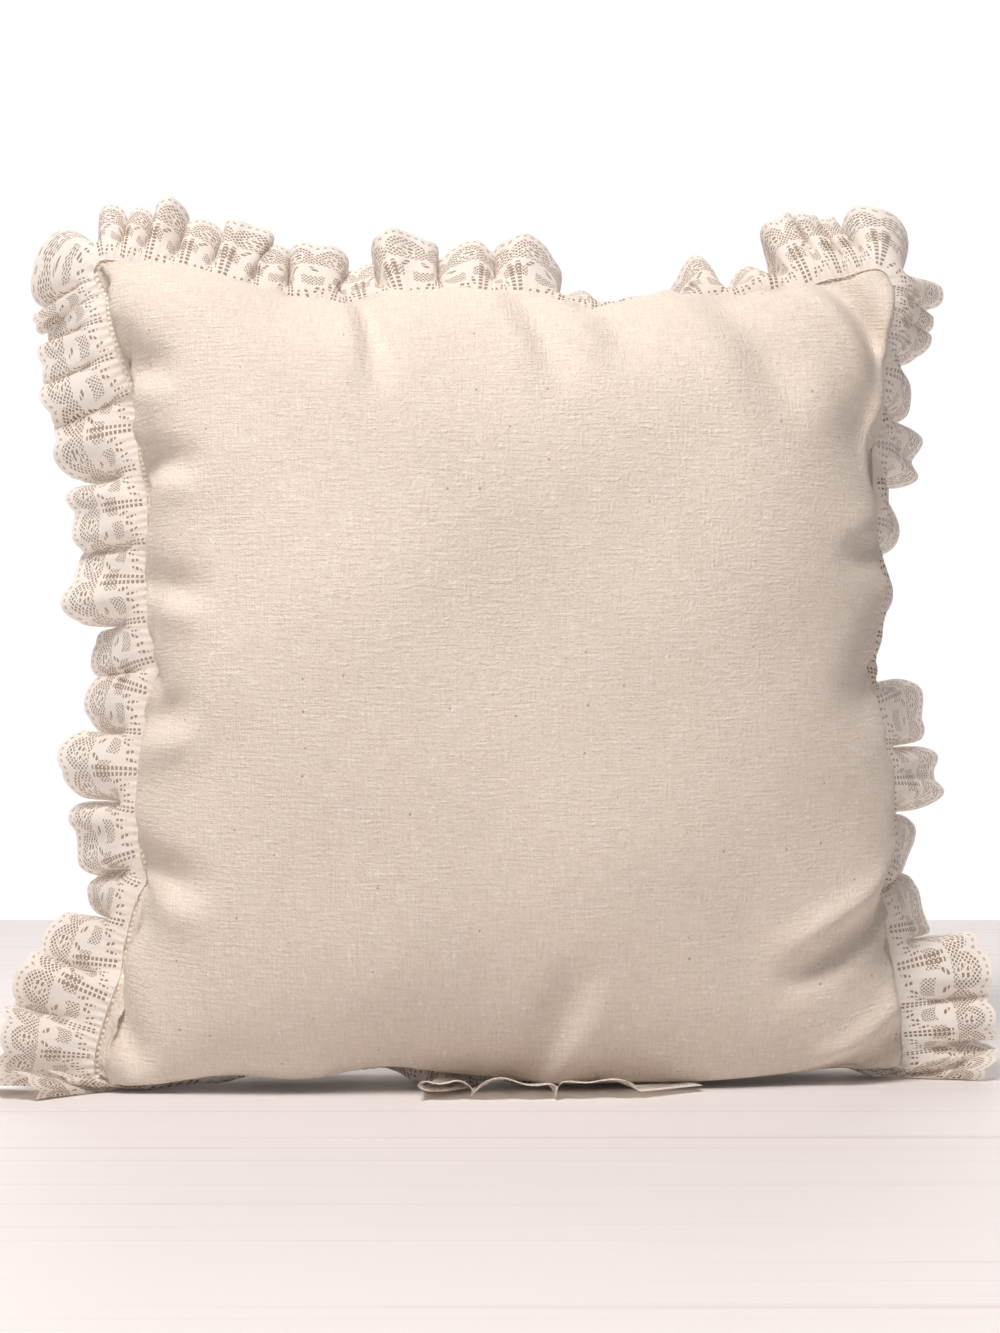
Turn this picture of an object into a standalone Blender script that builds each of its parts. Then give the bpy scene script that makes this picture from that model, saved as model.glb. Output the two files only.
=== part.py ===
"""A stuffed square ring bearer pillow with a gathered lace ruffle set in its seam.

The pillow stands on its lower edge and leans back a little. X runs across it, -Y is its front,
and Z is up. Everything is first placed in the pillow's own plane, where "ring" is the share of the
way from the pillow's centre (0) to its seam (1), and then leaned back onto the surface it stands on.
"""
import math

import bmesh
import bpy
from mathutils import Vector

# Driving dimensions, in metres
CORNER_SPAN = 0.2490          # from one stuffed corner to the next
WAIST_PULL = 0.0125           # how far the stuffing draws the middle of each side in
THICKNESS = 0.0860            # through the middle of the pillow
CORNER_ROUND = 0.0090         # radius of the sewn corners
LEAN = math.radians(5.0)      # how far the pillow leans back
CLOTH = 0.0006                # one layer of muslin, with its nap
SEAM_ALLOWANCE = 0.0090       # turned-in edge of each panel
HEADING_OUT = 0.0045          # gathered heading that shows outside the seam
HEADING_THICK = 0.0012        # the heading's packed gathers
LACE_DEPTH = 0.0320           # from the gathering thread to the scalloped edge
LACE_THICK = 0.0010           # corded lace
FLUTE_PITCH = 0.0280          # from one flute of the ruffle to the next
FLUTE_DEPTH = 0.0095          # how far a flute swings to each side at the edge
FLUTE_CALM = 0.0120           # height above the surface below which the flutes die away
THREAD = 0.0005               # sewing thread
CLOSING_PITCH = 0.0040        # from one hand stitch to the next
CLOSING_LOW = -0.62           # where the hand stitches start, as a share of the way up the side
CLOSING_HIGH = -0.10          # and where they end
CLOSING_IN = 0.0021           # how far inside the seam's edge a hand stitch is sewn
CLOSING_OUT = 0.0007          # and how near that edge it comes back
CLOSING_BITE = 0.0009         # how far a hand stitch dips into the fold of the panel
GAP = 0.0003                  # clearance between pieces that lie against each other

# Shape of the stuffed panels
CROWN_POWER = 0.55            # how squarely a panel rises from its seam
EAR_CLEAR = 0.0002            # height of the seam's own square above the surface
SEAT_BAND = 0.0060            # height of panel that the pillow's weight presses flat
SEAT_BLEND = 0.0200           # height at which the panel is its own shape again
SEAT_SINK = 0.0034            # how far the pressed band of the front sags below its seam
SEAT_BULGE = 0.0040           # panel depth at which the weight shows in full
SEAT_FLARE = 0.9              # how much further out the pressed band spreads, as a share
FOLD_DEPTH = 0.0030           # panel depth where the cloth opens out from its folded edge
FILL_DEPTH = 0.0062           # panel depth where the filling begins
FOLD_RUN = 0.0040             # least way from the filling's edge to the fold, as a share
SLOPE_STEP = 0.0040           # step over which a panel's slope is taken, as a share
STEEPEST = 3.0                # steepest slope that a panel's thickness allows for

# How the ruffle lies
LOWER_TURN = math.radians(56.0)   # along the bottom it is turned under, towards the back
TURN_START = 0.0012               # it first leaves the seam straight
TURN_RUN = 0.0030                 # length over which it makes that turn
MARCH = 0.0006                    # step of the walk along the ruffle's profile
SEAM_STITCH_RING = 0.985          # where the seam is sewn, as a share of the way to its edge
SEAM_STITCH_CLEAR = 0.006         # and how far inside the folded corners it stays, as a share

# Mesh resolution
SIDE_STEPS = 9                # stations along each side of the seam
CORNER_STEPS = 2              # stations round each corner
RINGS = 6                     # even rings from the centre of a panel towards its seam
LAST_RING = 0.88              # the last of the even rings, as a share of the way to the seam
FLUTE_STEPS = 6               # stations in one flute
LACE_ROWS = (0.0, 0.33, 0.67, 1.0)    # rows of the lace, as shares of its depth
THREAD_SIDES = 5              # flats round a thread

HALF = CORNER_SPAN / 2
SEAM_HALF = HEADING_THICK / 2 + GAP             # from the seam plane to a panel
LIP_INNER = SEAM_HALF + CLOTH                   # inner face of a turned-in edge
THREAD_ROOM = THREAD + 2 * GAP                  # room for a thread beside a turned-in edge
GATHER_ROOM = THREAD + 4 * GAP                  # room for the thread between heading and lace
BACK_SEAT = LACE_THICK + 2 * GAP                # the back panel sits on the turned-under lace
WAIST = HALF - WAIST_PULL
LIP_RING = 1 - SEAM_ALLOWANCE / WAIST


def clear_scene():
    for thing in list(bpy.data.objects):
        bpy.data.objects.remove(thing, do_unlink=True)


def material(name, colour, roughness):
    mat = bpy.data.materials.new(name)
    mat.use_nodes = True
    shader = mat.node_tree.nodes["Principled BSDF"]
    shader.inputs["Base Color"].default_value = (*colour, 1.0)
    shader.inputs["Roughness"].default_value = roughness
    shader.inputs["Metallic"].default_value = 0.0
    mat.diffuse_color = (*colour, 1.0)
    return mat


def add_object(name, verts, faces, mat):
    mesh = bpy.data.meshes.new(name)
    mesh.from_pydata([tuple(v) for v in verts], [], faces)
    bm = bmesh.new()
    bm.from_mesh(mesh)
    bmesh.ops.triangulate(bm, faces=bm.faces[:])
    bmesh.ops.recalc_face_normals(bm, faces=bm.faces[:])
    bm.to_mesh(mesh)
    bm.free()
    mesh.shade_smooth()
    mesh.materials.append(mat)
    obj = bpy.data.objects.new(name, mesh)
    bpy.context.scene.collection.objects.link(obj)
    return obj


# The seam: a square with rounded corners whose sides are drawn in between the corners

def unit_loop():
    """Directions (u, v) round the seam of a unit square, anticlockwise seen from the front."""
    round_share = CORNER_ROUND / HALF
    straight = 1 - round_share
    points = []
    for turn in range(4):
        angle = math.pi / 2 * turn
        side = [(1.0, straight * (2 * i / SIDE_STEPS - 1)) for i in range(SIDE_STEPS + 1)]
        arc = [(straight + round_share * math.cos(a), straight + round_share * math.sin(a))
               for a in (math.pi / 2 * i / (CORNER_STEPS + 1) for i in range(1, CORNER_STEPS + 1))]
        for u, v in side + arc:
            points.append((u * math.cos(angle) - v * math.sin(angle),
                           u * math.sin(angle) + v * math.cos(angle)))
    return points


def spread(u, v):
    """Where the square's (u, v) lies in the pillow's plane, with the sides drawn in."""
    return u * (HALF - WAIST_PULL * (1 - v * v)), v * (HALF - WAIST_PULL * (1 - u * u))


def rise(u, v, ring):
    """A panel's depth in front of the seam plane, at a share of the way to the seam's (u, v)."""
    most = max(abs(u), abs(v))
    least = min(abs(u), abs(v)) / most
    swell = (1 - ring ** 2) * (1 - (ring * least) ** 2)
    return (THICKNESS / 2 - SEAM_HALF) * max(swell, 0.0) ** CROWN_POWER


def ring_at_depth(u, v, depth):
    low, high = LAST_RING / 2, 1.0
    for _ in range(40):
        middle = (low + high) / 2
        if rise(u, v, middle) > depth:
            low = middle
        else:
            high = middle
    return low


def slope(u, v, ring):
    """Run of cloth along the panel for each metre in the seam plane."""
    x1, z1 = spread(u * (ring - SLOPE_STEP), v * (ring - SLOPE_STEP))
    x2, z2 = spread(u * ring, v * ring)
    climb = rise(u, v, ring - SLOPE_STEP) - rise(u, v, ring)
    return math.sqrt(1 + (climb / math.hypot(x2 - x1, z2 - z1)) ** 2)


def lean_back(x, y, z):
    """From the pillow's plane to the leaned pillow, its lower corners just off the surface."""
    up = z + HALF
    return Vector((x, y * math.cos(LEAN) + up * math.sin(LEAN),
                   up * math.cos(LEAN) - y * math.sin(LEAN) + EAR_CLEAR))


def lower_seam_height(x):
    """Height of the arched lower seam above the surface, at x across the pillow."""
    u = max(-1.0, min(1.0, x / HALF))
    return lean_back(0, 0, spread(u, -1)[1]).z


def seat(point, side, depth, inset, floor):
    """Press the lowest band of a panel flat and outwards, as the pillow's weight does.

    What lies inside the panel by inset stays above it by as much.
    """
    above = point.z - lower_seam_height(point.x)
    if above < SEAT_BLEND:
        kept = SEAT_BLEND * max(0.0, above - SEAT_BAND) / (SEAT_BLEND - SEAT_BAND)
        weight = min(1.0, depth / SEAT_BULGE)
        near_floor = 1 - max(0.0, above) / SEAT_BLEND
        point.z -= weight * (above - kept + (SEAT_SINK - floor - inset) * near_floor)
        point.y += side * SEAT_FLARE * depth * near_floor ** 2
    point.z = max(point.z, floor + inset)
    return point


def panel_point(uv, ring, side, inset, floor):
    """A point on a panel, or inset into it; side is -1 for the front and 1 for the back."""
    u, v = uv
    x, z = spread(u * ring, v * ring)
    outer = rise(u, v, ring)
    thick = inset * min(slope(u, v, ring), STEEPEST) if inset else 0.0
    depth = SEAM_HALF + outer - thick
    return seat(lean_back(x, side * depth, z), side, outer, inset, floor)


def plane_point(uv, ring, y):
    x, z = spread(uv[0] * ring, uv[1] * ring)
    return lean_back(x, y, z)


def loft(rings, start, end):
    """A closed skin through rings of points, capped at a start and an end point."""
    count = len(rings[0])
    verts = [start] + [p for ring in rings for p in ring] + [end]
    last = len(verts) - 1
    faces = []
    for i in range(count):
        j = (i + 1) % count
        faces.append((0, 1 + i, 1 + j))
        for row in range(len(rings) - 1):
            a = 1 + row * count
            faces.append((a + i, a + count + i, a + count + j, a + j))
        a = 1 + (len(rings) - 1) * count
        faces.append((last, a + j, a + i))
    return verts, faces


def closed_band(sections):
    """A closed skin through closed cross-sections that follow each other round a loop."""
    count = len(sections[0])
    verts = [p for section in sections for p in section]
    faces = []
    for i in range(len(sections)):
        a, b = i * count, (i + 1) % len(sections) * count
        for j in range(count):
            k = (j + 1) % count
            faces.append((a + j, a + k, b + k, b + j))
    return verts, faces


# The muslin panels: each is a dish with its edge turned in along the seam

def even_rings(side, inset, floor, loop):
    """Rings from near the crown to the last even ring, shared by everything in a panel."""
    return [[panel_point(uv, LAST_RING * r / RINGS, side, inset, floor) for uv in loop]
            for r in range(1, RINGS + 1)]


def edge_rings(loop):
    """How far out the filling starts, and how far out the folded cloth opens, all round."""
    start = [max(ring_at_depth(u, v, FILL_DEPTH), LIP_RING) for u, v in loop]
    fold = [max(ring_at_depth(u, v, FOLD_DEPTH), k + FOLD_RUN) for (u, v), k in zip(loop, start)]
    return start, fold


def uneven_ring(side, inset, floor, loop, shares):
    return [panel_point(uv, k, side, inset, floor) for uv, k in zip(loop, shares)]


def make_panel(name, side, floor, loop, mat):
    start, fold = edge_rings(loop)
    rings = even_rings(side, 0.0, floor, loop)
    rings.append(uneven_ring(side, 0.0, floor, loop, start))
    rings.append(uneven_ring(side, 0.0, floor, loop, fold))
    rings.append([plane_point(uv, 1.0, side * SEAM_HALF) for uv in loop])
    rings.append([plane_point(uv, LIP_RING, side * SEAM_HALF) for uv in loop])
    rings.append([plane_point(uv, LIP_RING, side * LIP_INNER) for uv in loop])
    rings.append([plane_point(uv, k, side * LIP_INNER) for uv, k in zip(loop, fold)])
    rings.append(uneven_ring(side, CLOTH, floor, loop, fold))
    rings.append(uneven_ring(side, CLOTH, floor, loop, start))
    rings += even_rings(side, CLOTH, floor, loop)[::-1]
    crown = lean_back(0, side * THICKNESS / 2, 0)
    crown_inner = lean_back(0, side * (THICKNESS / 2 - CLOTH), 0)
    verts, faces = loft(rings, crown, crown_inner)
    return add_object(name, verts, faces, mat)


# The filling: one mass that fills both panels and stops short of their turned-in edges

def make_filling(loop, mat):
    inset = CLOTH + GAP
    inner_y = LIP_INNER + THREAD_ROOM
    edge_ring = LIP_RING - 2 * GAP / WAIST
    start = edge_rings(loop)[0]

    def half(side, floor):
        rings = even_rings(side, inset, floor, loop)
        rings.append(uneven_ring(side, inset, floor, loop, start))
        rings.append([plane_point(uv, k, side * inner_y) for uv, k in zip(loop, start)])
        rings.append([plane_point(uv, edge_ring, side * inner_y) for uv in loop])
        return rings

    rings = half(-1, 0.0) + half(1, BACK_SEAT)[::-1]
    crown = THICKNESS / 2 - inset
    verts, faces = loft(rings, lean_back(0, -crown, 0), lean_back(0, crown, 0))
    return add_object("fibre_filling", verts, faces, mat)


# The ruffle: a heading caught in the seam, and the lace that flutes out from it

def seam_path(count):
    """Points and outward directions at even steps round the seam, in the pillow's plane."""
    fine = unit_loop()
    spots = [spread(u, v) for u, v in fine]
    lengths = [math.dist(spots[i], spots[(i + 1) % len(spots)]) for i in range(len(spots))]
    total = sum(lengths)
    path = []
    i, gone = 0, 0.0
    for n in range(count):
        want = total * n / count
        while gone + lengths[i] < want:
            gone += lengths[i]
            i += 1
        share = (want - gone) / lengths[i]
        a, b = spots[i], spots[(i + 1) % len(spots)]
        path.append((a[0] + (b[0] - a[0]) * share, a[1] + (b[1] - a[1]) * share))
    outward = []
    reach = max(1, round(count * CORNER_ROUND / total))
    for n in range(count):
        a, b = path[(n - reach) % count], path[(n + reach) % count]
        run = math.dist(a, b)
        outward.append(((b[1] - a[1]) / run, (a[0] - b[0]) / run))
    return path, outward


def lowness(out_z):
    """1 where the ruffle faces down, 0 where it faces sideways or up."""
    share = max(0.0, min(1.0, -out_z))
    return share * share * (3 - 2 * share)


def profile(spot, out, distances, rest):
    """Points and facing directions of the ruffle at distances out from the seam.

    Where it comes down to its rest height above the surface, it lies along the surface.
    """
    position = lean_back(spot[0], 0, spot[1])
    origin = lean_back(0, 0, 0)
    in_plane = lean_back(out[0], 0, out[1]) - origin
    backward = lean_back(0, 1, 0) - origin
    along = lean_back(-out[1], 0, out[0]) - origin
    turn = LOWER_TURN * lowness(out[1])
    found = []
    gone = 0.0
    for want in distances:
        if want <= 0:
            found.append((position + in_plane * want, backward))
            continue
        facing = backward
        while gone < want - 1e-9:
            step = min(MARCH, want - gone)
            angle = turn * max(0.0, min(1.0, (gone - TURN_START) / TURN_RUN))
            heading = in_plane * math.cos(angle) + backward * math.sin(angle)
            facing = along.cross(heading).normalized()
            if position.z + heading.z * step < rest:
                position.z = rest
                heading.z = 0.0
                heading.normalize()
                facing = Vector((0, 0, 1))
            position = position + heading * step
            gone += step
        found.append((position.copy(), facing))
    return found


def band_section(points, thick, swing=None):
    """A closed cross-section: the points' back side, then their front side in reverse."""
    back, front = [], []
    for n, (point, facing) in enumerate(points):
        middle = point + facing * (swing[n] if swing else 0.0)
        back.append(middle + facing * thick / 2)
        front.append(middle - facing * thick / 2)
    section = back + front[::-1]
    for corner in section:
        corner.z = max(corner.z, 0.0)
    return section


def ruffle_stations():
    """How many stations follow the ruffle round the seam: a whole number of flutes."""
    fine = [spread(u, v) for u, v in unit_loop()]
    total = sum(math.dist(a, b) for a, b in zip(fine, fine[1:] + fine[:1]))
    return round(total / FLUTE_PITCH) * FLUTE_STEPS


def make_heading(mat):
    path, outward = seam_path(ruffle_stations())
    rows = (-SEAM_ALLOWANCE, TURN_START, HEADING_OUT)
    rest = HEADING_THICK / 2 + GAP / 2
    sections = [band_section(profile(p, o, rows, rest), HEADING_THICK)
                for p, o in zip(path, outward)]
    verts, faces = closed_band(sections)
    return add_object("ruffle_heading", verts, faces, mat)


def make_lace(mat):
    path, outward = seam_path(ruffle_stations())
    start = HEADING_OUT + GATHER_ROOM
    rows = [start + LACE_DEPTH * share for share in LACE_ROWS]
    sections = []
    for n, (spot, out) in enumerate(zip(path, outward)):
        wave = math.sin(2 * math.pi * n / FLUTE_STEPS) * (1 - lowness(out[1])) * FLUTE_DEPTH
        points = profile(spot, out, rows, LACE_THICK / 2)
        swing = [wave * (row - start) / LACE_DEPTH
                 * min(1.0, max(0.0, point.z - LACE_THICK) / FLUTE_CALM)
                 for row, (point, _) in zip(rows, points)]
        sections.append(band_section(points, LACE_THICK, swing))
    verts, faces = closed_band(sections)
    return add_object("lace_ruffle", verts, faces, mat)


# The threads

def tube_sections(points, radius, sides, closed):
    sections = []
    count = len(points)
    for n, point in enumerate(points):
        before = points[(n - 1) % count] if closed or n else point
        after = points[(n + 1) % count] if closed or n < count - 1 else point
        run = (after - before).normalized()
        across = run.cross(Vector((0, 1, 0))).normalized()
        other = run.cross(across)
        sections.append([point + across * radius * math.cos(2 * math.pi * k / sides)
                         + other * radius * math.sin(2 * math.pi * k / sides) for k in range(sides)])
    return sections


def make_seam_thread(name, side, loop, mat):
    """A machine-sewn thread along the inner face of a turned-in edge, just inside the seam."""
    middle_y = side * (LIP_INNER + GAP + THREAD / 2)
    fold = edge_rings(loop)[1]
    points = [plane_point(uv, min(SEAM_STITCH_RING, k - SEAM_STITCH_CLEAR), middle_y)
              for uv, k in zip(loop, fold)]
    verts, faces = closed_band(tube_sections(points, THREAD / 2, THREAD_SIDES, True))
    return add_object(name, verts, faces, mat)


def make_gathering_thread(mat):
    path, outward = seam_path(ruffle_stations())
    distance = HEADING_OUT + GATHER_ROOM / 2
    rest = HEADING_THICK / 2 + GAP / 2
    points = [profile(p, o, (distance,), rest)[0][0] for p, o in zip(path, outward)]
    verts, faces = closed_band(tube_sections(points, THREAD / 2, THREAD_SIDES, True))
    return add_object("gathering_thread", verts, faces, mat)


def make_closing_thread(mat):
    """Hand stitches, worked from the back, that close the gap the pillow was filled through."""
    reach = (CLOSING_HIGH - CLOSING_LOW) * HALF
    stitches = round(reach / CLOSING_PITCH)
    points = []
    for n in range(2 * stitches + 1):
        v = CLOSING_LOW + (CLOSING_HIGH - CLOSING_LOW) * n / (2 * stitches)
        x, z = spread(-1.0, v)
        near = n % 2 == 0
        away = CLOSING_OUT if near else CLOSING_IN
        depth = HEADING_THICK / 2 + GAP + THREAD / 2 + (CLOSING_BITE if near else 0.0)
        points.append(lean_back(x - away, depth, z))
    sections = tube_sections(points, THREAD / 2, THREAD_SIDES, False)
    verts, faces = loft(sections, points[0], points[-1])
    return add_object("closing_thread", verts, faces, mat)


def centre_over_origin(objects):
    """Put the middle of the whole pillow's footprint box on the origin, and its base at zero."""
    corners = [v.co for obj in objects for v in obj.data.vertices]
    shift = Vector((-(min(c.x for c in corners) + max(c.x for c in corners)) / 2,
                    -(min(c.y for c in corners) + max(c.y for c in corners)) / 2,
                    -min(c.z for c in corners)))
    for obj in objects:
        for vert in obj.data.vertices:
            vert.co += shift


clear_scene()
muslin = material("unbleached_muslin", (0.79, 0.68, 0.57), 0.92)
fibre = material("polyester_fibre", (0.90, 0.89, 0.86), 0.95)
lace_cotton = material("ivory_lace", (0.86, 0.77, 0.68), 0.85)
tape_cotton = material("cream_heading_tape", (0.85, 0.74, 0.62), 0.80)
sewing_thread = material("cream_sewing_thread", (0.82, 0.72, 0.60), 0.70)

seam_loop = unit_loop()
pieces = [
    make_panel("front_panel", -1, 0.0, seam_loop, muslin),
    make_panel("back_panel", 1, BACK_SEAT, seam_loop, muslin),
    make_filling(seam_loop, fibre),
    make_heading(tape_cotton),
    make_lace(lace_cotton),
    make_seam_thread("seam_needle_thread", -1, seam_loop, sewing_thread),
    make_seam_thread("seam_bobbin_thread", 1, seam_loop, sewing_thread),
    make_gathering_thread(sewing_thread),
    make_closing_thread(sewing_thread),
]
centre_over_origin(pieces)
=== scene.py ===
"""A ring bearer pillow: a stuffed square muslin pillow with a gathered lace ruffle in its seam."""
import math

import bpy
import numpy as np
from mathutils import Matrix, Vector


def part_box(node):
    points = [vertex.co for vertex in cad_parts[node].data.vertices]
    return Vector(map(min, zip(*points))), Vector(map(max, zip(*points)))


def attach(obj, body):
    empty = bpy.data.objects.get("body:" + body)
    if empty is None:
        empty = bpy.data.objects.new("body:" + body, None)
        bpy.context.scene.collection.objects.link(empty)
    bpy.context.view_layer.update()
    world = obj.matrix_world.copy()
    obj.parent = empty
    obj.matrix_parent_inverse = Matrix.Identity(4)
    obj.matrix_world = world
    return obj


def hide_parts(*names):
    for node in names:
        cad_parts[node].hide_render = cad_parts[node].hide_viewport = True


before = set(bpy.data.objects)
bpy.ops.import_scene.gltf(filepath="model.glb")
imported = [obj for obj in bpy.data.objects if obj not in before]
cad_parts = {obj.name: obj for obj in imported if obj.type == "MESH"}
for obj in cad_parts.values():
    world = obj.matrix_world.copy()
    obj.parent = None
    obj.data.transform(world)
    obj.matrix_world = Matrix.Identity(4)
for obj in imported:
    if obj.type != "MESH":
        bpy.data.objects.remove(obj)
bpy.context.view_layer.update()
scene = bpy.context.scene


# Camera, light and table: a short telephoto view from just left of square on, a big soft lamp
# high on the left, a white backdrop, and a white painted plank table the pillow stands on.

def linear(colour):
    """A "#rrggbb" sRGB colour as linear red, green, blue and alpha."""
    parts = [int(colour[n:n + 2], 16) / 255 for n in (1, 3, 5)]
    return (*[p / 12.92 if p <= 0.04045 else ((p + 0.055) / 1.055) ** 2.4 for p in parts], 1.0)


def add(tree, kind, values=None, links=None, **settings):
    """Add one shader node with its settings, its sockets' values and its links."""
    node = tree.nodes.new("ShaderNode" + kind)
    for name, value in settings.items():
        setattr(node, name, value)
    for name, value in (values or {}).items():
        node.inputs[name].default_value = value
    for name, socket in (links or {}).items():
        tree.links.new(socket, node.inputs[name])
    return node


def ramp(tree, value, stops):
    """A colour ramp over a value, its stops given in order as (position, "#rrggbb")."""
    node = add(tree, "ValToRGB", links={"Fac": value})
    elements = node.color_ramp.elements
    for element, (position, colour) in ((elements[0], stops[0]), (elements[1], stops[-1])):
        element.position = position
        element.color = linear(colour)
    for position, colour in stops[1:-1]:
        elements.new(position).color = linear(colour)
    return node.outputs["Color"]


def new_material(name):
    """A material with an empty node tree but for its output, which is returned with the tree."""
    material = bpy.data.materials.new(name)
    material.use_nodes = True
    tree = material.node_tree
    tree.nodes.clear()
    return material, tree, add(tree, "OutputMaterial")


def add_object(name, mesh):
    """A new object with this mesh, curve, lamp or camera, in the scene."""
    obj = bpy.data.objects.new(name, mesh)
    scene.collection.objects.link(obj)
    return obj


VIEW_TURN = math.radians(-5.0)      # the viewer stands this far round to the left
VIEW_AWAY = 0.840
VIEW_HEIGHT = 0.146
VIEW_DROP = math.radians(1.2)
LENS = 73.0

camera = add_object("camera", bpy.data.cameras.new("camera"))
camera.data.lens = LENS
camera.data.sensor_width = 36.0
camera.data.clip_start = 0.01
camera.location = (VIEW_AWAY * math.sin(VIEW_TURN), -VIEW_AWAY * math.cos(VIEW_TURN), VIEW_HEIGHT)
camera.rotation_euler = (math.pi / 2 - VIEW_DROP, 0, VIEW_TURN)
scene.camera = camera
scene.view_settings.view_transform = "Standard"

world = bpy.data.worlds.new("soft room light")
world.use_nodes = True
world.node_tree.nodes["Background"].inputs["Color"].default_value = linear("#f4f7ff")
world.node_tree.nodes["Background"].inputs["Strength"].default_value = 0.165
scene.world = world

AIM_HEIGHT = 0.12             # every lamp points at this height on the pillow
for name, place, size, power, tint in (("key softbox", (-0.32, -0.58, 1.24), 0.42, 17.4, "#fffaf6"),
                                       ("front fill", (-0.3, -1.7, 0.9), 1.2, 2.0, "#fff4ea"),
                                       ("back light", (0.15, 1.25, 1.30), 1.0, 8.0, "#fffaf6")):
    lamp = bpy.data.lights.new(name, "AREA")
    lamp.size = size
    lamp.energy = power
    lamp.color = linear(tint)[:3]
    lamp_object = add_object(name, lamp)
    lamp_object.location = place
    aim = Vector((0, 0, AIM_HEIGHT)) - Vector(place)
    lamp_object.rotation_euler = aim.to_track_quat("-Z", "Y").to_euler()

TABLE_BACK = 0.430
TABLE_FRONT = -0.80
TABLE_SIDE = 1.6
table_mesh = bpy.data.meshes.new("table")
table_mesh.from_pydata([(-TABLE_SIDE, TABLE_FRONT, 0), (TABLE_SIDE, TABLE_FRONT, 0),
                        (TABLE_SIDE, TABLE_BACK, 0), (-TABLE_SIDE, TABLE_BACK, 0)], [], [(0, 1, 2, 3)])
table = add_object("table", table_mesh)
table.rotation_euler = (0, 0, VIEW_TURN)
paint, tree, output = new_material("white painted plank")
place = add(tree, "TexCoord")
stretch = add(tree, "Mapping", {"Scale": (0.5, 60.0, 1.0)}, {"Vector": place.outputs["Object"]})
streak = add(tree, "TexNoise", {"Scale": 2.2, "Detail": 5.0, "Roughness": 0.62, "Distortion": 0.15},
             {"Vector": stretch.outputs["Vector"]})
streak_tone = ramp(tree, streak.outputs["Fac"], ((0.28, "#d5c9cb"), (0.44, "#e6e1df")))
bump = add(tree, "Bump", {"Strength": 0.15, "Distance": 0.0006}, {"Height": streak.outputs["Fac"]})
shader = add(tree, "BsdfPrincipled", {"Roughness": 0.55, "IOR": 1.47},
             {"Base Color": streak_tone, "Normal": bump.outputs["Normal"]})
tree.links.new(shader.outputs["BSDF"], output.inputs["Surface"])
table.data.materials.append(paint)

BACKDROP_AWAY = 2.6
BACKDROP_SIDE = 3
BACKDROP_FOOT = -1.5
BACKDROP_TOP = 2.5
backdrop_mesh = bpy.data.meshes.new("backdrop")
backdrop_mesh.from_pydata(
    [(-BACKDROP_SIDE, BACKDROP_AWAY, BACKDROP_FOOT), (BACKDROP_SIDE, BACKDROP_AWAY, BACKDROP_FOOT),
     (BACKDROP_SIDE, BACKDROP_AWAY, BACKDROP_TOP), (-BACKDROP_SIDE, BACKDROP_AWAY, BACKDROP_TOP)],
    [], [(0, 1, 2, 3)])
backdrop = add_object("backdrop", backdrop_mesh)
backdrop.rotation_euler = (0, 0, VIEW_TURN)
glow, tree, output = new_material("lit white paper")
emission = add(tree, "Emission", {"Color": (1, 1, 1, 1), "Strength": 1.05})
tree.links.new(emission.outputs["Emission"], output.inputs["Surface"])
backdrop.data.materials.append(glow)


# The muslin cover: two square panels of plain-woven natural cotton, sewn together face to face
# all round, turned and stuffed firmly, so the sides draw in and the seam puckers.

CUT = 0.262                   # a panel between its seams
CORNER = 0.016                # radius that the corners are sewn to
THICKNESS = 0.086             # of the stuffed pillow at its middle
GRID = 80                     # steps of the simulated cloth each way
INFLATE_FRAMES = 34
SEAM_OPEN = 0.0005            # each panel stands this far off the seam's middle
centre_low, centre_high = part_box("front_panel")
back_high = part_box("back_panel")[1]
TALL = 1.03                   # set down on its edge, it stands a little taller than it is wide
RAISED = 0.0010               # it stands this much higher, on the lace under it
PIVOT = Vector((0, (centre_low.y + back_high.y) / 2,
                (centre_low.z + centre_high.z) / 2 * TALL + RAISED))
thread_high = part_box("gathering_thread")[1]
LEAN = math.atan2(thread_high.y - PIVOT.y, thread_high.z - PIVOT.z)


def smooth(x, low=0.0, high=1.0):
    """0 at low and 1 at high, with an even turn between."""
    share = np.clip((x - low) / (high - low), 0, 1)
    return share * share * (3 - 2 * share)


def lean_back(points):
    """From the pillow's own plane, centred on it, to the leaned pillow on the table."""
    x, y, z = points[..., 0], points[..., 1], points[..., 2]
    return np.stack([x + PIVOT.x, y * math.cos(LEAN) + z * math.sin(LEAN) + PIVOT.y,
                     z * math.cos(LEAN) - y * math.sin(LEAN) + PIVOT.z], -1)


def quads_of(index):
    """The four corners of each cell of a grid of point numbers."""
    return np.stack([index[:-1, :-1], index[1:, :-1], index[1:, 1:], index[:-1, 1:]], -1).reshape(-1, 4)


def cut_points():
    """Where the grid's crossings lie on the flat panel, with its corners rounded."""
    line = np.linspace(-CUT / 2, CUT / 2, GRID + 1)
    x, z = np.meshgrid(line, line, indexing="ij")
    inner = CUT / 2 - CORNER
    dx, dz = np.abs(x) - inner, np.abs(z) - inner
    reach = np.maximum(dx, dz) / np.maximum(np.hypot(dx, dz), 1e-9)
    corner = (dx > 0) & (dz > 0)
    x = np.where(corner, np.sign(x) * (inner + dx * reach), x)
    z = np.where(corner, np.sign(z) * (inner + dz * reach), z)
    return x, z


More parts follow.
